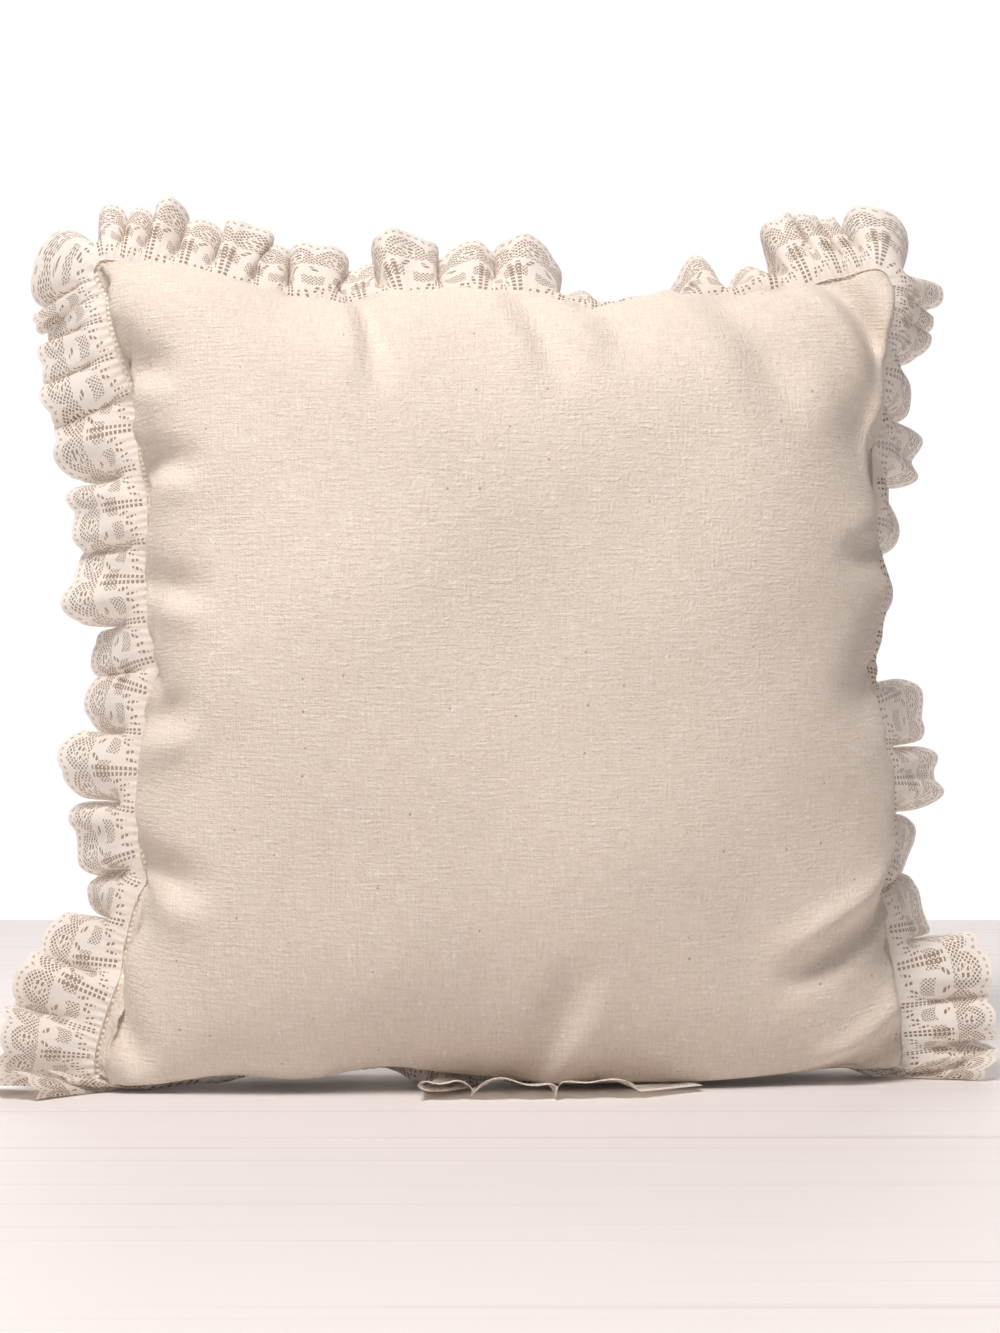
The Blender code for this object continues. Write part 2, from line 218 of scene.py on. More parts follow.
def inflate():
    """Blow up two sewn panels as cloth; returns the front's and the back's grid of points."""
    rng = np.random.default_rng(5)
    x, z = cut_points()
    u, v = np.meshgrid(np.linspace(-1, 1, GRID + 1), np.linspace(-1, 1, GRID + 1), indexing="ij")
    start = 0.004 * np.sqrt((1 - u * u) * (1 - v * v))
    index = np.zeros((2, GRID + 1, GRID + 1), int)
    points = []
    for side, sign in ((0, -1), (1, 1)):
        wave = np.sin(9.1 * u + 5.3 * v + side) + np.sin(11.9 * v - 7.7 * u + 2 * side)
        depth = sign * start + 0.0003 * (wave + rng.normal(size=u.shape))
        for i in range(GRID + 1):
            for j in range(GRID + 1):
                if side and (i in (0, GRID) or j in (0, GRID)):
                    index[1, i, j] = index[0, i, j]
                    continue
                index[side, i, j] = len(points)
                points.append((x[i, j], depth[i, j], z[i, j]))
    faces = []
    for side, turn in ((0, 1), (1, -1)):
        faces += quads_of(index[side])[:, ::turn].tolist()
    mesh = bpy.data.meshes.new("cover being stuffed")
    mesh.from_pydata(points, [], faces)
    obj = add_object("cover_being_stuffed", mesh)
    modifier = obj.modifiers.new("cloth", "CLOTH")
    cloth = modifier.settings
    cloth.quality = 6
    cloth.mass = 0.15
    cloth.tension_stiffness = cloth.compression_stiffness = 40
    cloth.shear_stiffness = 12
    cloth.bending_stiffness = 0.02
    cloth.tension_damping = cloth.compression_damping = cloth.shear_damping = 10
    cloth.bending_damping = 0.5
    cloth.air_damping = 2
    cloth.use_pressure = True
    cloth.uniform_pressure_force = 4.0
    cloth.effector_weights.gravity = 0
    modifier.collision_settings.use_collision = False
    for frame_number in range(1, INFLATE_FRAMES + 1):
        scene.frame_set(frame_number)
    shape = obj.evaluated_get(bpy.context.evaluated_depsgraph_get())
    found = np.empty(len(points) * 3)
    shape.data.vertices.foreach_get("co", found)
    found = found.reshape(-1, 3)
    bpy.data.objects.remove(obj, do_unlink=True)
    scene.frame_set(1)
    return found[index[0]], found[index[1]]


def refine(grid):
    """Twice as many steps both ways, by a cubic through the points."""
    for axis in (0, 1):
        a = np.moveaxis(grid, axis, 0)
        wide = np.concatenate([2 * a[:1] - a[1:2], a, 2 * a[-1:] - a[-2:-1]])
        middle = (9 * (wide[1:-2] + wide[2:-1]) - wide[:-3] - wide[3:]) / 16
        made = np.empty((2 * len(a) - 1, *a.shape[1:]))
        made[0::2], made[1::2] = a, middle
        grid = np.moveaxis(made, 0, axis)
    return grid


def soften(grid, rounds, near, far):
    """Even out the dimples well inside the seam without shrinking, and leave the puckers there."""
    side = np.linspace(-1, 1, len(grid))
    away = (1 - np.maximum(*np.abs(np.meshgrid(side, side, indexing="ij")))) * CUT / 2
    weight = smooth(away, near, far)[1:-1, 1:-1, None]
    for turn in range(2 * rounds):
        mean = (grid[:-2, 1:-1] + grid[2:, 1:-1] + grid[1:-1, :-2] + grid[1:-1, 2:]) / 4
        grid[1:-1, 1:-1] += (0.62, -0.64)[turn % 2] * weight * (mean - grid[1:-1, 1:-1])
    return grid


front, back = inflate()
STANDING_OUT = 1.083          # the stuffed edges stand out beyond the seam, which lies in a groove
spread = centre_high.x / np.abs(front[..., 0]).max() * STANDING_OUT
for panel in (front, back):
    panel *= (spread, THICKNESS / 2 / np.abs(panel[..., 1]).max(), spread * TALL)
front, back = (soften(panel, 120, 0.010, 0.034) for panel in (front, back))
front, back = refine(front), refine(back)
flat_x, flat_z = (refine(a[..., None])[..., 0] for a in cut_points())


def crease(x, z, start, end, width, depth, fade=0.35):
    """How deep a soft crease from start to end runs at each flat point of a panel."""
    a, b = np.array(start) * CUT / 2, np.array(end) * CUT / 2
    run = b - a
    share = ((x - a[0]) * run[0] + (z - a[1]) * run[1]) / (run @ run)
    off = ((x - a[0]) * run[1] - (z - a[1]) * run[0]) / math.hypot(*run)
    ends = smooth(share, -0.05, fade) * (1 - smooth(share, 1 - fade, 1.05))
    across = off / width
    return depth * ends * (0.55 * np.exp(-(across - 1.3) ** 2) - np.exp(-across ** 2))


# Folds of the front: from and to as shares of the way from the middle to the seam, width and depth
FRONT_FOLDS = (
    ((-0.32, 0.98), (-0.27, 0.56), 0.0044, 0.0052),
    ((-0.01, 0.98), (0.13, 0.56), 0.0057, 0.0043),
    ((0.20, 0.98), (0.27, 0.62), 0.0070, 0.0038),
    ((0.94, 0.90), (0.88, 0.36), 0.0044, 0.0093),
    ((0.66, 0.99), (0.90, 0.60), 0.0062, 0.0093),
    ((0.44, 0.98), (0.64, 0.50), 0.0088, 0.0052),
    ((0.99, 0.30), (0.70, 0.22), 0.0053, 0.0034),
    ((0.00, -0.97), (0.16, -0.58), 0.0066, 0.0044),
    ((0.98, -0.46), (0.56, -0.66), 0.0050, 0.0080),
    ((0.98, -0.76), (0.66, -0.92), 0.0054, 0.0080),
    ((-0.98, -0.62), (-0.78, -0.86), 0.0064, 0.0081),
    ((-0.99, 0.66), (-0.70, 0.62), 0.0058, 0.0072),
    ((-0.99, 0.44), (-0.64, 0.42), 0.0050, 0.0060),
    ((-0.99, 0.20), (-0.62, 0.15), 0.0054, 0.0066),
    ((-0.99, -0.14), (-0.66, -0.08), 0.0058, 0.0080),
    ((-0.99, -0.40), (-0.62, -0.46), 0.0060, 0.0085),
)
for fold in FRONT_FOLDS:
    front[..., 1] -= crease(flat_x, flat_z, *fold)

# Slow hollows where the fibre is packed unevenly
HOLLOW = 0.0008
across, up = flat_x / CUT * 2, flat_z / CUT * 2
hollow = (np.sin(7.1 * across + 2.3 * up + 0.4) * np.sin(5.2 * up - 1.9 * across + 1.1)
          + 0.6 * np.sin(12.3 * up + 3.1 * across) * np.sin(10.4 * across - 2.2 * up + 2.0))
front[..., 1] += HOLLOW * hollow * (1 - across ** 4) * (1 - up ** 4)
back[..., 1] += HOLLOW * hollow[::-1] * (1 - across ** 4) * (1 - up ** 4)

# The filling is packed fullest in the middle: the front falls away to its sides and its foot
front[..., 1] *= 1 - 0.09 * across ** 2 - 0.17 * smooth(-up, -0.15, 0.95)
SETTLED = 0.004
for panel in (front, back):
    panel[..., 2] -= SETTLED * (1 - across ** 2) * (1 - up ** 2)

# The stuffing swells each side (left, right, bottom, top) and draws the seam into a groove there
SWELL = (-0.0045, 0.0078, 0.0114, -0.0010)
TUCK = (0.0085, 0.0110, 0.0130, 0.0115)
TUCK_RUN = 0.016
SWELL_RUN = 0.070
for panel in (front, back):
    for side in range(4):
        axis, sign = (0, 0, 2, 2)[side], (-1, 1, -1, 1)[side]
        along, other = (flat_x, flat_z) if axis == 0 else (flat_z, flat_x)
        away = CUT / 2 - sign * along
        panel[..., axis] += sign * SWELL[side] * (1 - smooth(away, 0, SWELL_RUN)) * (
            1 - (other / CUT * 2) ** 2)
        corner_part = smooth(CUT / 2 - np.abs(other), -0.030, 0.018)
        panel[..., axis] -= sign * TUCK[side] * (1 - smooth(away, 0, TUCK_RUN)) * corner_part

# The pillow's weight evens out the puckers along the bottom and presses them to the table
EVEN_RUN = 13
kernel = np.hanning(2 * EVEN_RUN + 3)[1:-1]
kernel /= kernel.sum()
evened = smooth(-up, 0.60, 0.86) * (1 - smooth(np.abs(across), 0.80, 0.95))
for panel in (front, back):
    wide = np.pad(panel[..., 2], ((EVEN_RUN, EVEN_RUN), (0, 0)), mode="edge")
    level = sum(kernel[k] * wide[k:k + panel.shape[0]] for k in range(len(kernel)))
    panel[..., 2] += evened * (level - panel[..., 2])

front, back = lean_back(front), lean_back(back)
PRESSED = 0.004
for panel in (front, back):
    height = panel[..., 2]
    panel[..., 2] = np.where(height < PRESSED, PRESSED * np.exp(height / PRESSED - 1), height)


def seam_of(grid):
    """The grid's edge, once round anticlockwise from the lower left corner."""
    return np.concatenate([grid[:-1, 0], grid[-1, :-1], grid[:0:-1, -1], grid[0, :0:-1]])


def grid_mesh(name, points, uv, closed=False, flip=False):
    """A mesh over a grid of points, with UV map "flat" in metres on the flat cloth.

    A closed grid joins its last row to its first, where the flat cloth runs on by one more step.
    """
    rows, columns = points.shape[:2]
    index = np.arange(rows * columns).reshape(rows, columns)
    if closed:
        index = np.concatenate([index, index[:1]])
        uv = np.concatenate([uv, uv[-1:] + (uv[-1:] - uv[-2:-1])])
    turn = -1 if flip else 1
    mesh = bpy.data.meshes.new(name)
    mesh.from_pydata(points.reshape(-1, 3).tolist(), [], quads_of(index)[:, ::turn].tolist())
    corners = quads_of(np.arange(len(uv) * columns).reshape(-1, columns))[:, ::turn]
    mesh.uv_layers.new(name="flat").data.foreach_set("uv", uv.reshape(-1, 2)[corners.ravel()].ravel())
    mesh.shade_smooth()
    return mesh


def evened_seam(points):
    """The seam's points, each averaged with its neighbours round it."""
    kernel = np.exp(-np.linspace(-2, 2, 9) ** 2)
    kernel /= kernel.sum()
    wide = np.concatenate([points[-4:], points, points[:4]])
    return np.stack([np.convolve(wide[:, k], kernel, "valid") for k in range(3)], -1)


seam = evened_seam(seam_of(front))
backward = np.array(lean_back(np.array([0, 1.0, 0])) - lean_back(np.zeros(3)))
upward = np.array(lean_back(np.array([0, 0, 1.0])) - lean_back(np.zeros(3)))

muslin, tree, output = new_material("natural cotton muslin")
flat = add(tree, "UVMap", uv_map="flat")
# The real cloth has about 24 threads to the centimetre; they are drawn twice as coarse to show.
YARN = 0.00085
parts = add(tree, "SeparateXYZ", links={"Vector": flat.outputs["UV"]})
waves = []
for axis in ("X", "Y"):
    turns = add(tree, "Math", {1: 2 * math.pi / YARN}, {0: parts.outputs[axis]}, operation="MULTIPLY")
    waves.append(add(tree, "Math", links={0: turns.outputs[0]}, operation="SINE"))
weave = add(tree, "Math", links={0: waves[0].outputs[0], 1: waves[1].outputs[0]}, operation="MULTIPLY")
# Slubs are thick places about 7 mm long and 0.7 mm through, in the weft and then in the warp
slubs = []
for scale in ((150.0, 1350.0, 1.0), (1450.0, 140.0, 1.0)):
    stretched = add(tree, "Mapping", {"Scale": scale}, {"Vector": flat.outputs["UV"]})
    slubs.append(add(tree, "TexNoise", {"Scale": 1.0, "Detail": 3.0, "Roughness": 0.6},
                     {"Vector": stretched.outputs["Vector"]}))
weft = add(tree, "Math", {1: 0.85}, {0: slubs[0].outputs["Fac"]}, operation="MULTIPLY")
slub = add(tree, "Math", {1: 0.75}, {0: slubs[1].outputs["Fac"], 2: weft.outputs[0]},
           operation="MULTIPLY_ADD")
grain = add(tree, "TexNoise", {"Scale": 1050.0, "Detail": 2.0, "Roughness": 0.6},
            {"Vector": flat.outputs["UV"]})
slub = add(tree, "Math", {1: 0.75}, {0: grain.outputs["Fac"], 2: slub.outputs[0]},
           operation="MULTIPLY_ADD")
slub_show = add(tree, "MapRange", {"From Min": 0.86, "From Max": 1.50, "To Min": 0.0, "To Max": 1.0},
                {"Value": slub.outputs[0]})
yarn_tone = ramp(tree, slub_show.outputs["Result"],
                 ((0.0, "#e1d1c1"), (0.5, "#ebddd0"), (0.70, "#eee0d4"), (1.0, "#f9f1e9")))
cloudy = add(tree, "TexNoise", {"Scale": 14.0, "Detail": 2.0}, {"Vector": flat.outputs["UV"]})
cloud = add(tree, "MapRange", {"From Min": 0.3, "From Max": 0.7, "To Min": 0.955, "To Max": 1.03},
            {"Value": cloudy.outputs["Fac"]})
hue = add(tree, "HueSaturation", links={"Color": yarn_tone, "Value": cloud.outputs["Result"]})
# Dark seed flecks, 0.3 to 0.8 mm across, in about a fifth of cells 9.5 mm wide
seed = add(tree, "TexVoronoi", {"Scale": 105.0, "Randomness": 1.0}, {"Vector": flat.outputs["UV"]},
           voronoi_dimensions="2D")
seed_pick = add(tree, "SeparateColor", links={"Color": seed.outputs["Color"]})
rare = add(tree, "Math", {1: 0.22}, {0: seed_pick.outputs["Red"]}, operation="LESS_THAN")
size = add(tree, "MapRange", {"From Min": 0.0, "From Max": 1.0, "To Min": 0.014, "To Max": 0.042},
           {"Value": seed_pick.outputs["Green"]})
near = add(tree, "Math", links={0: seed.outputs["Distance"], 1: size.outputs["Result"]},
           operation="LESS_THAN")
fleck = add(tree, "Math", links={0: rare.outputs[0], 1: near.outputs[0]}, operation="MULTIPLY")
fleck_share = add(tree, "Math", {1: 0.50}, {0: fleck.outputs[0]}, operation="MULTIPLY")
cloth_tone = add(tree, "MixRGB", {"Color2": linear("#7a5238")},
                 {"Fac": fleck_share.outputs[0], "Color1": hue.outputs["Color"]})
weave_bump = add(tree, "Bump", {"Strength": 0.35, "Distance": 0.00016},
                 {"Height": weave.outputs[0]})
slub_bump = add(tree, "Bump", {"Strength": 0.9, "Distance": 0.00055},
                {"Height": slub.outputs[0], "Normal": weave_bump.outputs["Normal"]})
shader = add(tree, "BsdfPrincipled",
             {"Roughness": 0.88, "IOR": 1.46, "Specular IOR Level": 0.25, "Sheen Weight": 0.12,
              "Sheen Roughness": 0.5, "Sheen Tint": linear("#fff4e8")},
             {"Base Color": cloth_tone.outputs["Color"], "Normal": slub_bump.outputs["Normal"]})
tree.links.new(shader.outputs["BSDF"], output.inputs["Surface"])

edge = np.zeros(front.shape[:2])
edge[0], edge[-1], edge[:, 0], edge[:, -1] = 1, 1, 1, 1
uv = np.stack([flat_x, flat_z], -1)
for name, panel, side in (("front_cover", front, -1), ("back_cover", back, 1)):
    panel = panel + edge[..., None] * side * SEAM_OPEN * backward
    cover = add_object(name, grid_mesh(name, panel, uv, flip=side > 0))
    cover.data.materials.append(muslin)
    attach(cover, "root")
    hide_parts("front_panel" if side < 0 else "back_panel")


# The filling: loose polyester fibre packed firmly into the cover, a soft block that takes its
# shape and is seen only if the seam gapes.

INSET = 0.0120                # clear of the seam all round
FLATTER = 0.90                # its depth, as a share of the cover's
fibre, tree, output = new_material("polyester fibre filling")
place = add(tree, "TexCoord")
tufts = add(tree, "TexNoise", {"Scale": 90.0, "Detail": 6.0, "Roughness": 0.7},
            {"Vector": place.outputs["Object"]})
tuft_bump = add(tree, "Bump", {"Strength": 0.7, "Distance": 0.002}, {"Height": tufts.outputs["Fac"]})
shader = add(tree, "BsdfPrincipled", {"Base Color": linear("#f3f1ec"), "Roughness": 0.9, "IOR": 1.55,
                                      "Sheen Weight": 0.3},
             {"Normal": tuft_bump.outputs["Normal"]})
tree.links.new(shader.outputs["BSDF"], output.inputs["Surface"])
coarse = slice(None, None, 4)
middle_point = (front.mean((0, 1)) + back.mean((0, 1))) / 2
shrink = 1 - 2 * INSET / CUT
shells = [middle_point + (panel[coarse, coarse] - middle_point) * (shrink, FLATTER, shrink)
          for panel in (front, back)]
count = shells[0].shape[0] ** 2
stuffing_mesh = bpy.data.meshes.new("fibre_stuffing")
index = np.arange(2 * count).reshape(2, shells[0].shape[0], -1)
edges = np.zeros(index.shape[1:], bool)
edges[0], edges[-1], edges[:, 0], edges[:, -1] = True, True, True, True
index[1][edges] = index[0][edges]
stuffing_mesh.from_pydata(np.concatenate([s.reshape(-1, 3) for s in shells]).tolist(), [],
                          quads_of(index[0]).tolist() + quads_of(index[1])[:, ::-1].tolist())
stuffing_mesh.shade_smooth()
stuffing = add_object("fibre_stuffing", stuffing_mesh)
stuffing.data.materials.append(fibre)
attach(stuffing, "root")
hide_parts("fibre_filling")


# The ruffle: about two metres of cotton edging lace, gathered on a thread along its heading to
# about half its length and caught in the seam. It flutes out, leans back, and rests on the table.

LACE_WIDTH = 0.0320           # from the seam to the scallops' tips
HEADING = 0.0014              # of the heading, outside the seam
HEADING_IN = 0.0088           # sewn inside the seam
GATHER = 1.82                 # flat length over gathered length
CORNER_GATHER = 4.4
CORNER_RUN = 0.012            # how far the extra gathers reach each way from a corner
REPEAT = 0.022                # two scallops
SCALLOP_RADIUS = 0.0086
STEP = 0.00065                # between the mesh's columns, along the flat lace
ROWS = 56                     # across it
CLEAR = 0.0003                # nothing comes nearer the table than this
LIES = 0.0006                 # the lace lies this far off the table
LIFTED = 0.0045               # a crest springs this far off the table at its edge
TRAVEL = 0.0007               # the lace's path is followed in steps of this
GATHERS = 0.0005              # the small gathers beside the seam, and their pitch and reach
GATHER_PITCH = 0.0024
GATHER_REACH = 0.004

lengths = np.linalg.norm(np.diff(np.concatenate([seam, seam[:1]]), axis=0), axis=1)
along = np.concatenate([[0], np.cumsum(lengths)])
ROUND = along[-1]


def at(values, s):
    """Values given at the seam's points, read at distances s round it."""
    wide = np.concatenate([values, values[:1]])
    s = np.mod(s, ROUND)
    if wide.ndim == 1:
        return np.interp(s, along, wide)
    return np.stack([np.interp(s, along, wide[:, k]) for k in range(wide.shape[1])], -1)


def blur(values, reach):
    """Values at the seam's points, averaged over reach metres each way."""
    span = max(1, int(round(reach / (ROUND / len(values)))))
    kernel = np.hanning(2 * span + 3)[1:-1]
    kernel /= kernel.sum()
    wide = np.concatenate([values[-span:], values, values[:span]])
    return np.stack([np.convolve(wide[:, k], kernel, "valid") for k in range(wide.shape[1])], -1)


tangent = blur(np.roll(seam, -1, 0) - np.roll(seam, 1, 0), 0.010)
tangent -= (tangent @ backward)[:, None] * backward
tangent /= np.linalg.norm(tangent, axis=1)[:, None]
outward = np.cross(tangent, backward)
outward *= np.sign(((seam - seam.mean(0)) * outward).sum(1))[:, None]

# Corners of the seam as distances round it: lower left, lower right, upper right, upper left
quarter = len(seam) // 4
corners = along[[0, quarter, 2 * quarter, 3 * quarter]]


def round_from(side, share):
    """Distance round the seam at a share of the way along a side: bottom, right, top or left."""
    start = corners[side]
    end = corners[side + 1] if side < 3 else ROUND
    return start + (end - start) * share


# The lace's folds in order: side, share along it, and lean of the crest in degrees. A lean of 0
# stands straight out from the seam, and 90 points straight back.
BOTTOM, RIGHT, TOP, LEFT = 0, 1, 2, 3
FOLDS = (
    (BOTTOM, -0.030, -30), (BOTTOM, 0.020, -38), (BOTTOM, 0.075, -20), (BOTTOM, 0.14, 80),
    (BOTTOM, 0.24, 92), (BOTTOM, 0.335, 88), (BOTTOM, 0.43, -66), (BOTTOM, 0.52, -72),
    (BOTTOM, 0.61, -60), (BOTTOM, 0.70, 88), (BOTTOM, 0.79, 92), (BOTTOM, 0.88, 76),
    (BOTTOM, 0.95, 0),
    (RIGHT, 0.000, -10), (RIGHT, 0.045, -6), (RIGHT, 0.11, 4), (RIGHT, 0.18, 62),
    (RIGHT, 0.28, 76), (RIGHT, 0.36, 40), (RIGHT, 0.435, 50), (RIGHT, 0.52, 84),
    (RIGHT, 0.60, 78), (RIGHT, 0.69, 66), (RIGHT, 0.79, 58), (RIGHT, 0.87, 66),
    (RIGHT, 0.935, 56), (RIGHT, 0.968, 62), (RIGHT, 0.988, 50),
    (TOP, 0.004, 46), (TOP, 0.022, 50), (TOP, 0.050, 42), (TOP, 0.090, 36),
    (TOP, 0.15, 74), (TOP, 0.22, 60),
    (TOP, 0.30, 88), (TOP, 0.38, 70), (TOP, 0.46, 38), (TOP, 0.53, 46), (TOP, 0.60, 34),
    (TOP, 0.665, 56), (TOP, 0.73, 40), (TOP, 0.79, 44), (TOP, 0.845, 34), (TOP, 0.89, 46),
    (TOP, 0.935, 40), (TOP, 0.966, 52), (TOP, 0.986, 42),
    (LEFT, 0.002, 52), (LEFT, 0.020, 42), (LEFT, 0.048, 50), (LEFT, 0.085, 38),
    (LEFT, 0.13, 30), (LEFT, 0.20, 30),
    (LEFT, 0.30, 34), (LEFT, 0.395, 30), (LEFT, 0.475, 50), (LEFT, 0.54, 54), (LEFT, 0.62, 34),
    (LEFT, 0.70, 56), (LEFT, 0.78, 64), (LEFT, 0.85, 40), (LEFT, 0.915, 20),
)
crest_at = np.array([np.mod(round_from(side, share), ROUND) for side, share, _ in FOLDS])
order = np.argsort(crest_at)
crest_at = crest_at[order]
crest_lean = np.radians([FOLDS[k][2] for k in order])


def nearness_to_corner(s):
    """One at the corners of the seam, falling to nothing along its sides."""
    gap = np.abs(np.mod(s[:, None] - corners[None, :] + ROUND / 2, ROUND) - ROUND / 2)
    return np.exp(-(gap.min(1) / CORNER_RUN) ** 2)


fine = np.linspace(0, ROUND, 6001)
gathered = GATHER + (CORNER_GATHER - GATHER) * nearness_to_corner(fine)
flat_along = np.concatenate([[0], np.cumsum((gathered[1:] + gathered[:-1]) / 2 * np.diff(fine))])
repeats = round(flat_along[-1] / REPEAT)
LACE_LENGTH = repeats * REPEAT
columns = int(round(LACE_LENGTH / STEP / 4)) * 4
flat_q = np.arange(columns) * LACE_LENGTH / columns
station = np.interp(flat_q, flat_along * LACE_LENGTH / flat_along[-1], fine)

# Where each station is between its two nearest crests
after = np.searchsorted(crest_at, station) % len(crest_at)
before = (after - 1) % len(crest_at)
spacing = np.mod(crest_at[after] - crest_at[before], ROUND)
phase = np.mod(station - crest_at[before], ROUND) / spacing
crest_part = 1 - np.abs(np.sin(math.pi * phase)) ** 3.4
own_lean = crest_lean[before] + (crest_lean[after] - crest_lean[before]) * smooth(phase)
swing_back = np.clip(2.0 * np.arcsin(np.clip(spacing * 0.86 / LACE_WIDTH, 0, 1)) * 0.66, 0.36, 0.92)
swing_back += 0.22 * nearness_to_corner(station)
rng = np.random.default_rng(11)
wobble = np.interp(station, np.linspace(0, ROUND, 90), rng.normal(size=90) * 0.10)
down = smooth(-(at(outward, station) @ upward), 0.15, 0.75)
lean_angle = own_lean + wobble + swing_back * (1 - crest_part) * (1 - 0.6 * down)

origin = at(seam, station)
out_dir = at(outward, station)
near_table = smooth(0.030 - origin[:, 2], 0, 0.022) * smooth(np.abs(origin[:, 0]), 0.080, 0.105)
out_dir[:, 2] = np.maximum(out_dir[:, 2], -1 + 0.72 * near_table)
sideways = np.sign(origin[:, 0]) * np.sqrt(np.maximum(1 - out_dir[:, 2] ** 2, 0))
out_dir[:, 0] = out_dir[:, 0] * (1 - near_table) + sideways * near_table
out_dir /= np.linalg.norm(out_dir, axis=1)[:, None]
along_dir = np.cross(backward[None, :], out_dir)
along_dir *= np.sign((along_dir * (at(seam, station + 0.002) - origin)).sum(1))[:, None]
crowded = smooth(station, round_from(TOP, 0.40), round_from(TOP, 0.50))
crowded *= 1 - smooth(station, round_from(LEFT, 0.10), round_from(LEFT, 0.25))
fan = 0.56 / math.pi * spacing * np.arcsin(0.97 * np.sin(2 * math.pi * phase)) * (
    1 + 0.30 * crowded + 0.7 * nearness_to_corner(station))
across_dir = (-np.sin(lean_angle)[:, None] * out_dir + np.cos(lean_angle)[:, None] * backward)
turns = station / 0.0092 + np.interp(station, np.linspace(0, ROUND, 60), rng.normal(size=60) * 0.35)
ripple = (0.0014 + 0.0006 * np.sin(station * 61)) * np.sin(2 * math.pi * turns) * (1 - 0.5 * down)


def ruffle(distances, gathers):
    """Rows of points of the ruffle at distances out from the seam, resting on the table."""
    position = origin.copy()
    rows = []
    gone = 0.0
    lift = LIES + LIFTED * crest_part
    for want in distances:
        while gone < want - 1e-9:
            step = min(TRAVEL, want - gone)
            bend = smooth((gone - 0.0008) / (0.011 - 0.007 * down))
            angle = lean_angle * bend
            going = np.cos(angle)[:, None] * out_dir + np.sin(angle)[:, None] * backward
            rest = LIES + lift * smooth(np.array(gone / LACE_WIDTH))
            hit = position[:, 2] + going[:, 2] * step < rest
            going[hit, 2] = np.minimum((rest - position[:, 2])[hit] / step, 0.7)
            level = np.linalg.norm(going[hit, :2], axis=1)[:, None]
            room = np.sqrt(np.maximum(1 - going[hit, 2] ** 2, 0.05))[:, None]
            going[hit, :2] *= room / np.maximum(level, 1e-6)
            position = position + going * step
            gone += step
        share = max(want, 0) / LACE_WIDTH
        point = position + along_dir * (fan * share)[:, None]
        if want < 0:
            point = origin + out_dir * want
        pleat = gathers * math.exp(-max(want, 0) / GATHER_REACH) * np.sin(
            2 * math.pi * station / GATHER_PITCH)
        flute = ripple * smooth(np.array(share), 0.05, 0.9)
        point = point + across_dir * (pleat + flute)[:, None]
        point[:, 2] = np.maximum(point[:, 2], CLEAR)
        rows.append(point)
    return np.stack(rows, 1)


def lace_pattern(q, t):
    """Signed distances in millimetres into the lace's net, its ladders and slits, and the whole lace.

    q runs along the lace and t out from its heading. Each scallop holds a flower ringed with net;
    ladders and leaf-shaped slits fill the ground between, and a broad solid border runs outside.
    """
    q = (np.mod(q, REPEAT) - REPEAT / 2) * 1000
    t = t * 1000
    width = LACE_WIDTH * 1000
    pitch = REPEAT * 500
    round_in = SCALLOP_RADIUS * 1000
    scallop = np.mod(q + pitch / 2, pitch) - pitch / 2
    r = np.hypot(scallop, t - (width - round_in))
    inside = np.where(t > width - round_in, round_in - r, round_in)
    angle = np.arctan2(t - (width - round_in), scallop)
    ring = np.minimum(1.75 - np.abs(r - 4.3 - 0.4 * np.cos(5 * angle)), t - (width - 12.2))
    net = np.minimum(ring, 1.0 - 0.95 * np.cos(4 * angle + 0.8))
    heart = np.minimum(0.75 - np.abs(r - 1.5), 0.35 + 0.8 * np.cos(5 * angle))
    ground = np.minimum(2.3 - np.abs(t - 13.0 - 1.7 * np.sin(q * math.pi / pitch)),
                        np.abs(scallop) - 1.4)
    ground = np.minimum(ground, 1.6 - 1.7 * np.cos(q * math.pi / pitch * 6 + t * 0.5))
    net = np.maximum(net, ground)
    open_work = heart
    for middle in (pitch / 2 - 1.25, pitch / 2 + 1.25):
        band = np.minimum(0.78 - np.abs(q - middle), np.minimum(t - 2.4, 18.5 - t))
        open_work = np.maximum(open_work, band)
    for x, up, tilt in ((-3.4, 5.8, 0.5), (-7.4, 7.4, -0.6), (0.4, 5.0, -0.3), (-5.6, 17.2, 0.9),
                        (-10.3, 6.6, 0.2), (0.6, 17.6, -0.8), (9.6, 9.4, 0.3)):
        a = (q - x) * math.cos(tilt) - (t - up) * math.sin(tilt)
        b = (q - x) * math.sin(tilt) + (t - up) * math.cos(tilt)
        open_work = np.maximum(open_work, (1 - np.hypot(a / 0.75, b / 1.9)) * 0.75)
    edge = inside - 3.3
    return np.minimum(net, edge), np.minimum(open_work, edge), inside


reach = np.linspace(0.0010, LACE_WIDTH, ROWS)
lace_points = ruffle(reach, GATHERS)
uv = np.stack(np.broadcast_arrays(flat_q[:, None], reach[None, :]), -1)
lace_mesh = grid_mesh("lace_edging", lace_points, uv, closed=True)
for name, values in zip(("net", "ladder", "inside"), lace_pattern(uv[..., 0], uv[..., 1])):
    lace_mesh.attributes.new(name, "FLOAT", "POINT").data.foreach_set(
        "value", values.astype(np.float32).ravel())
lace = add_object("lace_edging", lace_mesh)

lace_cotton, tree, output = new_material("ivory cotton lace")
net_in = add(tree, "Attribute", attribute_name="net")
ladder_in = add(tree, "Attribute", attribute_name="ladder")
inside_in = add(tree, "Attribute", attribute_name="inside")
flat = add(tree, "UVMap", uv_map="flat")
split = add(tree, "SeparateXYZ", links={"Vector": flat.outputs["UV"]})


def above(value, limit):
    """One where a value is over a limit, and zero elsewhere."""
    return add(tree, "Math", {1: limit}, {0: value}, operation="GREATER_THAN").outputs[0]


